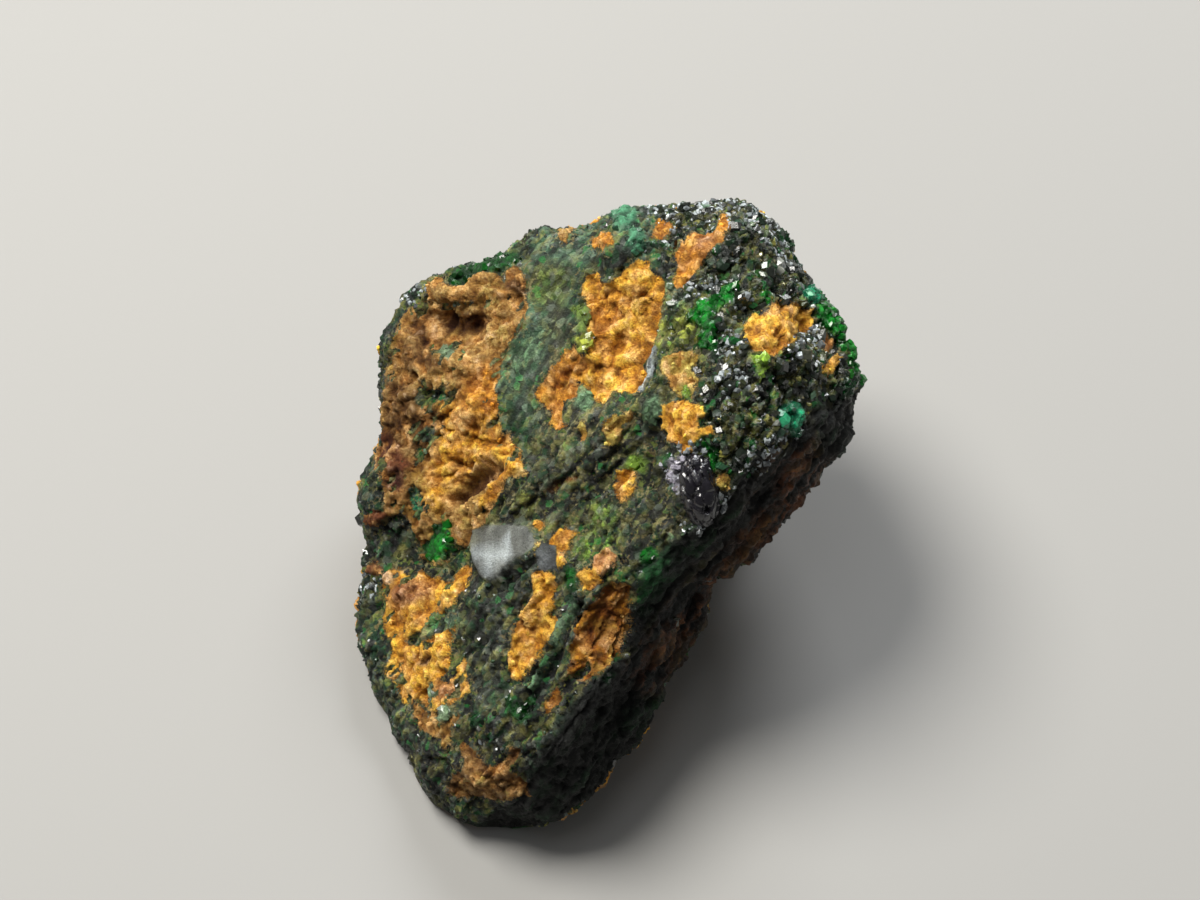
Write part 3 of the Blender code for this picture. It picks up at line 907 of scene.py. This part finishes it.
stoneLook = {
    "mottle": 7.0,  # lumps or cells to the mm, as in the next five
    "speckle": 15.0,
    "grit": 30.0,
    "folds": 6.0,
    "cells": 8.5,
    "fineCells": 19.0,
    "strands": (2.2, 9.0, 6.0),  # the same along the grain, across it and in depth
    "streaks": (12.0, 0.9, 0.9),  # the same on the satin faces
    "fray": 4.0,  # pixels that each of two noises frays the edges of the patches
    "cellShades": (0.4, 1.7),
    "strandShades": (0.45, 1.6),
    "streakShades": (0.8, 1.25),
    "gritShades": (0.65, 1.4),
    "oddCells": [  # what some cells have on top of their rock colour
        (0.0, (0.0, 0.0, 0.0)), (0.66, (0.001, 0.026, 0.006)), (0.80, (0.050, 0.050, 0.010)),
        (0.90, (0.060, 0.075, 0.055)), (0.96, (0.002, 0.10, 0.012))],
    "oddShare": 0.8,
    "dust": [(0.0, (0.25, 0.22, 0.10)), (0.4, (0.13, 0.17, 0.03)), (0.7, (0.17, 0.13, 0.05))],
    "dustShare": 0.8,
    "dustFrom": (0.60, 0.66),  # less is more dust
    # painted shade and highlight on the oxide, by its crumb and crease noise
    "crumbLightShade": [(0.0, (0.66, 0.52, 0.36)), (0.4, (0.98, 0.93, 0.84)), (1.0, (1.16, 1.24, 1.5))],
    "creaseShade": [(0.0, (0.74, 0.58, 0.42)), (1.0, (1.04, 1.04, 1.04))],
    "oxideCells": [(0.0, (0.91, 0.86, 0.80)), (0.5, (1.0, 1.0, 1.0)), (1.0, (1.08, 1.11, 1.2))],
    "roughGlassy": (0.10, 0.34),
    "roughRock": (0.5, 0.8),
    "roughDust": 0.8,
    "roughOxide": (0.78, 1.0),
    "roughSatin": (0.24, 0.38),
    "refraction": 1.5,
    "specular": 0.38,
    "lean": (0.15, 0.95),  # how far small faces lean, on dull and on glassy rock
    "leanOxide": 0.38,
    "bump": 0.05,  # mm
    "bumpStrength": 0.8,
}


def stoneMaterial():
    look = stoneLook
    n = Nodes("garnet with iron oxide")
    spot = n.place()
    grainSpot = n.stored("grainSpot")
    fields = n.apart(n.stored("fields"))
    finish = n.apart(n.stored("finish"))
    mottle = n.cloud(spot, look["mottle"], 4.0, 0.65)
    grit = n.cloud(spot, look["grit"], 3.0, 0.75)
    speckle = n.cloud(n.vector("ADD", spot, (7.0, 3.0, 5.0)), look["speckle"], 2.0)
    strand = n.cloud(n.vector("MULTIPLY", grainSpot, look["strands"]), 1.0, 4.0, 0.65)
    cells = n.cells(spot, look["cells"])
    fineCells = n.cells(spot, look["fineCells"])
    cellTone = n.add("SeparateColor", {"Color": cells}).outputs

    # fine noise frays the edges of the patches, and strews yellow dust around them
    frays = [n.span(each, 0.0, 1.0, -look["fray"], look["fray"]) for each in (grit, mottle)]
    fray = n.maths("ADD", *frays)
    oxide = n.span(n.maths("ADD", fields["X"], fray), -0.8, 0.8)
    green = n.span(n.maths("ADD", fields["Y"], fray), -1.5, 1.5)
    satin = n.span(n.maths("ADD", fields["Z"], n.maths("MULTIPLY", fray, 0.2)), -0.8, 0.8)
    smooth = n.maths("MAXIMUM", green, satin)
    oxide = n.maths("MULTIPLY", oxide, n.maths("SUBTRACT", 1.0, smooth, clamp=True))
    rockShare = n.maths("SUBTRACT", 1.0, oxide, clamp=True)
    plainRock = n.maths("SUBTRACT", rockShare, smooth, clamp=True)
    plainRock = n.maths("SUBTRACT", plainRock, finish["Z"], clamp=True)
    dust = n.span(n.weighted((speckle, 0.5), (strand, 0.5), (finish["Y"], 0.10)), *look["dustFrom"])
    dust = n.maths("MULTIPLY", dust, n.maths("MULTIPLY", plainRock, look["dustShare"]))

    # rock colour: each small crystal has its own shade
    shade = n.mixed(smooth, n.span(cellTone["Red"], 0.0, 1.0, *look["cellShades"]), 1.0)
    shade = n.maths("MULTIPLY", shade, n.span(strand, 0.35, 0.65, *look["strandShades"]))
    streaks = n.cloud(n.vector("MULTIPLY", spot, look["streaks"]), 1.0)
    shade = n.mixed(satin, shade, n.span(streaks, 0.3, 0.7, *look["streakShades"]))
    shaded = n.vector("SCALE", n.stored("rockTint"), scale=shade)
    odd = n.blend(1.0, shaded, n.stepped(cellTone["Green"], look["oddCells"], "CONSTANT"), "ADD")
    rockColour = n.blend(n.maths("MULTIPLY", plainRock, look["oddShare"]), shaded, odd)
    rockColour = n.blend(dust, rockColour, n.stepped(cellTone["Blue"], look["dust"], "CONSTANT"))
    rockColour = n.vector("SCALE", rockColour, scale=n.span(grit, 0.3, 0.7, *look["gritShades"]))

    # oxide colour: painted shade makes it browner in its hollows and creases, painted highlight paler on
    # its crumbs
    crumb = n.span(n.weighted((mottle, 0.5), (grit, 0.5)), 0.38, 0.62)
    foldSpot = n.vector("ADD", spot, n.vector("SCALE", grainSpot, scale=0.35))
    folds = n.cloud(foldSpot, look["folds"], 4.0, 0.7)
    crease = n.span(n.maths("ABSOLUTE", n.maths("SUBTRACT", folds, 0.5)), 0.0, 0.045)
    oxideColour = n.stored("oxideTint")
    byNoise = {"crumbLightShade": crumb, "creaseShade": crease, "oxideCells": cellTone["Blue"]}
    for key, value in byNoise.items():
        oxideColour = n.vector("MULTIPLY", oxideColour, n.stepped(value, look[key]))
    n.give("Base Color", n.blend(oxide, rockColour, oxideColour))

    # roughness: glassy crystal, satin faces, earthy oxide
    dullRock = n.span(cellTone["Blue"], 0.0, 1.0, *look["roughRock"])
    glassyRock = n.span(cellTone["Blue"], 0.0, 1.0, *look["roughGlassy"])
    roughness = n.mixed(finish["X"], dullRock, glassyRock)
    roughness = n.mixed(dust, roughness, look["roughDust"])
    roughness = n.mixed(oxide, roughness, n.span(grit, 0.3, 0.7, *look["roughOxide"]))
    roughness = n.mixed(satin, roughness, n.span(mottle, 0.3, 0.7, *look["roughSatin"]))
    n.give("Roughness", roughness)
    n.give("IOR", look["refraction"])
    n.give("Specular IOR Level", look["specular"])

    # small crystal faces turn the light each their own way; the oxide is only grainy
    turns = [n.vector("SUBTRACT", each, (0.5, 0.5, 0.5)) for each in (cells, fineCells)]
    turns = n.vector("ADD", turns[0], n.vector("SCALE", turns[1], scale=0.7))
    faceted = n.maths("SUBTRACT", rockShare, n.maths("MULTIPLY", satin, 0.95), clamp=True)
    faceted = n.maths("MULTIPLY", faceted, n.span(finish["X"], 0.0, 1.0, *look["lean"]))
    faceted = n.maths("MAXIMUM", faceted, n.maths("MULTIPLY", oxide, look["leanOxide"]))
    normal = n.add("NewGeometry").outputs["Normal"]
    normal = n.vector("NORMALIZE", n.vector("ADD", normal, n.vector("SCALE", turns, scale=faceted)))
    height = n.weighted((crumb, 0.6), (oxide, 0.5), (n.maths("MULTIPLY", crease, oxide), 0.5))
    n.bump(height, look["bump"], look["bumpStrength"], normal)
    return n.material


def finishPiece(name, mesh, material):
    mesh.name = name
    mesh.materials.clear()
    mesh.materials.append(material)
    piece = inScene(name, mesh)
    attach(piece, "root")
    return piece


skin.shade_smooth()
stone = finishPiece("garnetStone", skin, stoneMaterial())
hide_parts("uvarovite_stone")
print("stone finished")

# Small crystals and crumbs set into the skin
rng = np.random.default_rng(52)
floorGap = 0.14  # mm that stays clear above the floor


def garnetGrain():
    # a rhombic dodecahedron, the shape that garnet grows in
    bm = bmesh.new()
    bmesh.ops.create_cube(bm, size=1.0)
    bmesh.ops.poke(bm, faces=bm.faces, offset=0.5)
    bmesh.ops.dissolve_limit(bm, angle_limit=math.radians(2), verts=bm.verts, edges=bm.edges)
    return meshOf(bm, "grain")


def spreadOut(allowed, gap):
    # picks points of the skin about that far from each other
    chosen = rng.permutation(np.flatnonzero(allowed & (moved[:, 2] > floorGap)))
    cellOf = np.floor(moved[chosen] / gap).astype(int)
    first = np.unique(cellOf, axis=0, return_index=True)[1]
    return chosen[np.sort(first)]


def scatter(name, kind, shapes, picks, sizes, tints, material):
    # one piece of many small copies, each turned at random and sunk part way into the skin
    points = []
    faces = []
    count = 0
    for place, size in zip(picks, sizes):
        shape = shapes[rng.integers(len(shapes))]
        corners = numbersOf(shape.vertices, "co", 3) * rng.uniform(*kind["stretch"], 3) * size
        turn = np.array(Quaternion(rng.normal(size=4)).normalized().to_matrix())
        points.append(corners @ turn.T + moved[place] + normals[place] * size * kind["sink"])
        faces += [[v + count for v in face.vertices] for face in shape.polygons]
        count += len(corners)
    points = np.concatenate(points)
    points[:, 2] = np.maximum(points[:, 2], 0.0)  # no corner reaches into the floor
    mesh = bpy.data.meshes.new(name)
    mesh.from_pydata(points * mm, [], faces)
    mesh.update()
    if "shades" in kind:
        tints = tints * rng.uniform(*kind["shades"], (len(picks), 1))
    if "brightest" in kind:
        tints = np.minimum(tints, kind["brightest"])
    keepOnMesh(mesh, "tint", np.repeat(tints, count // len(picks), axis=0))
    finishPiece(name, mesh, material)
    print(name + ":", len(picks), "copies")


def crystalMaterial(name, look):
    n = Nodes(name)
    spot = n.place()
    veil = n.cloud(spot, 14.0)
    n.give("Base Color", n.vector("SCALE", n.stored("tint"), scale=n.span(veil, 0.3, 0.7, 0.6, 1.5)))
    n.give("Roughness", n.span(veil, 0.3, 0.7, *look["roughness"]))
    n.give("IOR", 1.7)
    n.give("Specular IOR Level", look["specular"])
    n.give("Transmission Weight", look["clearness"])
    n.bump(n.cloud(spot, 40.0, 2.0), 0.01, 0.5)
    return n.material


grains = {
    "coarseGap": 0.17,  # mm from one to the next
    "coarseSize": (0.04, 0.125),  # mm, half width
    "fewLarge": 1.6,  # more is fewer large ones
    "fineGap": 0.26,
    "fineSize": (0.03, 0.06),
    "most": 8000,
    "sink": -0.7,  # of the size
    "stretch": (0.55, 1.5),
    "palette": [  # from the dark clusters to the pale ones
        "black", "black", "blackGreen", "black", "black", "blackGreen", "black", "bottleGreen",
        "darkTeal", "olive", "greyTeal", "steel", "silver"],
    "middle": 0.42,  # where in the palette most grains lie, from 0 to 1
    "clusters": 0.55,  # how far clusters differ from each other
    "mixing": 0.18,  # how far single grains differ in a cluster
    "windows": 0.25,  # how much darker they are in the green windows
    "darkToPale": (0.5, 1.5),
    "rockTint": 0.3,  # share of the rock's own colour on top
    "roughness": (0.08, 0.30),
    "specular": 0.5,
    "clearness": 0.0,
}
bareRock = (oxideField < -2) & (satinField < -2) & (greenField < -1)
coarseRock = coarseShare > rng.uniform(0.2, 0.8, len(spots))
coarsePlaces = spreadOut(bareRock & coarseRock, grains["coarseGap"])
calmRock = np.maximum(calmShare, within(washes["middle"][-1], -10, 10))
finePlaces = spreadOut(bareRock & (flecks > 0.2) & (beyond < 0.5) & (calmRock < 0.5), grains["fineGap"])
places = rng.permutation(np.concatenate([coarsePlaces, finePlaces]))[:grains["most"]]
coarseSizes = rng.random(len(places)) ** grains["fewLarge"]
coarseSizes = grains["coarseSize"][0] + np.ptp(grains["coarseSize"]) * coarseSizes
fineSizes = rng.uniform(*grains["fineSize"], len(places))
grainSizes = np.where(coarseShare[places] > 0.3, coarseSizes, fineSizes)
palette = np.array([colours[name] for name in grains["palette"]])
paleness = grains["middle"] + grains["clusters"] * blotch[places]
paleness += rng.normal(0, grains["mixing"], len(places))
paleness -= grains["windows"] * ramp(windowField[places], -4, 4)
grainTints = palette[np.clip((paleness * len(palette)).astype(int), 0, len(palette) - 1)]
grainTints = grainTints * rng.uniform(*grains["darkToPale"], (len(places), 1))
grainTints += rockTint[places] * grains["rockTint"]
scatter(
    "garnetGrains", grains, [garnetGrain()], places, grainSizes, grainTints,
    crystalMaterial("dark garnet grains", grains))

pale = {
    "gap": 0.10,
    "share": 0.75,  # of the places that the gap leaves
    "size": (0.03, 0.08),
    "sink": -0.7,
    "stretch": (0.75, 1.3),
    "shades": (0.15, 1.3),
    "roughness": (0.05, 0.22),
    "specular": 0.5,
    "clearness": 0.35,
}
# pale grains: their pale tint is partly the crystals' own colour and partly painted glints
frostAndGlintTint = plain("frost")
for colour, edge in frostsAndGlints.values():
    frostAndGlintTint = paint(frostAndGlintTint, ramp(insideOf(x, y, edge), -4, 0), colour)
places = spreadOut((insideAny(frostsAndGlints.values()) > -3) & (oxideField < 2) & (greenField < 0), pale["gap"])
places = places[rng.random(len(places)) < pale["share"]]
scatter(
    "paleGrains", pale, [garnetGrain()], places, rng.uniform(*pale["size"], len(places)),
    frostAndGlintTint[places], crystalMaterial("pale glassy grains", pale))

gems = {
    "gap": 0.17,
    "size": (0.05, 0.12),
    "sink": -0.75,
    "stretch": (0.75, 1.3),
    "shades": (0.3, 1.45),
    "roughness": (0.06, 0.28),
    "specular": 0.25,
    "clearness": 0.35,
}
places = spreadOut(greenField > 0, gems["gap"])
scatter(
    "greenCrystals", gems, [garnetGrain()], places, rng.uniform(*gems["size"], len(places)),
    rockTint[places], crystalMaterial("clear green garnet", gems))

crumbs = {
    "gap": 0.38,
    "size": (0.02, 0.05),
    "sink": -0.7,
    "stretch": (0.75, 1.3),
    "shapes": 6,
    "jitter": (0.65, 1.25),
    "shades": (0.8, 1.3),
    "brightest": 0.9,
    "crumbShadeToHighlight": [(0.0, (0.5, 0.38, 0.25)), (0.5, (0.95, 0.92, 0.85)), (1.0, (1.35, 1.4, 1.6))],
    "roughness": (0.8, 1.0),
    "specular": 0.3,
}


def oxideCrumb():
    # a small lump with jittered corners
    bm = bmesh.new()
    bmesh.ops.create_icosphere(bm, subdivisions=1, radius=1.0)
    for vert in bm.verts:
        vert.co *= rng.uniform(*crumbs["jitter"])
    return meshOf(bm, "crumb")


def crumbMaterial():
    n = Nodes("crumbly iron oxide")
    grit = n.cloud(n.place(), 24.0, 3.0, 0.7)
    # painted shade in the hollows of the grit and painted highlight on its tops
    lit = n.stepped(n.span(grit, 0.3, 0.7), crumbs["crumbShadeToHighlight"])
    n.give("Base Color", n.vector("MULTIPLY", n.stored("tint"), lit))
    n.give("Roughness", n.span(grit, 0.3, 0.7, *crumbs["roughness"]))
    n.give("Specular IOR Level", crumbs["specular"])
    n.bump(grit, 0.02, 0.8)
    return n.material


places = spreadOut((oxideField > 1) & (flecks > -0.05), crumbs["gap"])
crumbSizes = rng.uniform(*crumbs["size"], len(places))
crumbShapes = [oxideCrumb() for _ in range(crumbs["shapes"])]
scatter("crumbLightShade", crumbs, crumbShapes, places, crumbSizes, oxideTint[places], crumbMaterial())

bean = {
    "at": (698, 491),  # where it lies in the picture
    "rise": -0.08,  # mm
    "half": (0.33, 0.62, 0.36),  # mm across, along and out of the skin
    "turn": 8.0,  # degrees
    "facets": (0.17, 0.24, 0.17),  # mm
    "chipped": 0.05,
    "tint": (0.006, 0.005, 0.008),
    "roughness": (0.08, 0.22),
    "specular": 0.5,
    "clearness": 0.0,
}


def blackBean():
    # one larger black crystal, long and blunt with a chipped skin, half sunk in the stone
    home = int(np.argmin(np.hypot(pictureX - bean["at"][0], pictureY - bean["at"][1]) + 50 * hidden))
    out = Vector(normals[home])
    right = leanBack @ Vector((1, 0, 0))
    side = (right - out * out.dot(right)).normalized()
    side = Matrix.Rotation(math.radians(bean["turn"]), 3, out) @ side
    axes = Matrix((side, out.cross(side), out)).transposed()
    bm = bmesh.new()
    bmesh.ops.create_icosphere(bm, subdivisions=5, radius=1.0)
    bmesh.ops.scale(bm, vec=bean["half"], verts=bm.verts)
    bm.normal_update()
    chipped = crystals(np.array([v.co for v in bm.verts]), bean["facets"], seed=21, seam=0.2)
    for vert, lift in zip(bm.verts, chipped):
        vert.co += vert.normal * lift * bean["chipped"]
    place = Vector(moved[home]) + out * bean["rise"]
    bmesh.ops.transform(bm, matrix=Matrix.Translation(place) @ axes.to_4x4(), verts=bm.verts)
    bmesh.ops.scale(bm, vec=(mm, mm, mm), verts=bm.verts)
    bmesh.ops.recalc_face_normals(bm, faces=bm.faces)
    mesh = meshOf(bm, "blackCrystal")
    keepOnMesh(mesh, "tint", np.zeros((len(mesh.vertices), 3)) + np.array(bean["tint"]))
    return mesh


finishPiece("blackCrystal", blackBean(), crystalMaterial("black glossy crystal", bean))
print("black crystal set in")

# Floor, lights and camera
studio = {
    "floor": (0.34, 0.336, 0.325, 1.0),
    "floorSize": 0.6,  # metres
    "floorRoughness": 0.9,
    "surround": (0.80, 0.80, 0.80, 1.0),
    "surroundStrength": 0.17,
    "lamps": {  # direction in the face-on frame, distance and size in mm, watts, colour
        "key": ((-0.40, 0.72, 0.56), 120, 60, 0.22, (1.0, 0.97, 0.91)),
        "fill": ((-0.15, 0.60, 0.80), 160, 110, 0.03, (0.96, 0.98, 1.0)),
        "top": ((0.22, 0.95, 0.20), 120, 54, 0.10, (0.96, 0.98, 1.0)),
    },
}


def addFloor():
    bm = bmesh.new()
    bmesh.ops.create_grid(bm, x_segments=2, y_segments=2, size=studio["floorSize"] / 2)
    mesh = meshOf(bm, "floor")
    n = Nodes("pale studio floor")
    n.give("Base Color", studio["floor"])
    n.give("Roughness", studio["floorRoughness"])
    mesh.materials.append(n.material)
    floor = inScene("floor", mesh)


def addLamp(name, towards, distance, size, power, colour):
    # a soft round lamp that faces the stone
    direction = (leanBack @ Vector(towards)).normalized()
    lamp = bpy.data.lights.new(name, "AREA")
    lamp.shape = "DISK"
    lamp.size = size * mm
    lamp.energy = power
    lamp.color = colour
    inScene(name, lamp).matrix_world = (
        Matrix.Translation(direction * distance * mm + Vector(view["middle"]) * mm)
        @ direction.to_track_quat("Z", "Y").to_matrix().to_4x4())


def addCamera():
    data = bpy.data.cameras.new("camera")
    data.lens = view["lens"]
    data.sensor_width = view["sensor"]
    data.clip_start, data.clip_end = view["clip"]
    place = Vector(view["middle"]) + leanBack @ Vector((*view["aim"], view["distance"]))
    camera = inScene("camera", data)
    camera.matrix_world = Matrix.Translation(place * mm) @ leanBack.to_4x4()
    bpy.context.scene.camera = camera


def addSurround():
    world = bpy.data.worlds.new("studio")
    world.use_nodes = True
    background = world.node_tree.nodes["Background"]
    background.inputs["Color"].default_value = studio["surround"]
    background.inputs["Strength"].default_value = studio["surroundStrength"]
    bpy.context.scene.world = world


addFloor()
for name, lamp in studio["lamps"].items():
    addLamp(name, *lamp)
addCamera()
addSurround()
bpy.context.scene.view_settings.view_transform = "Standard"
print("studio ready")
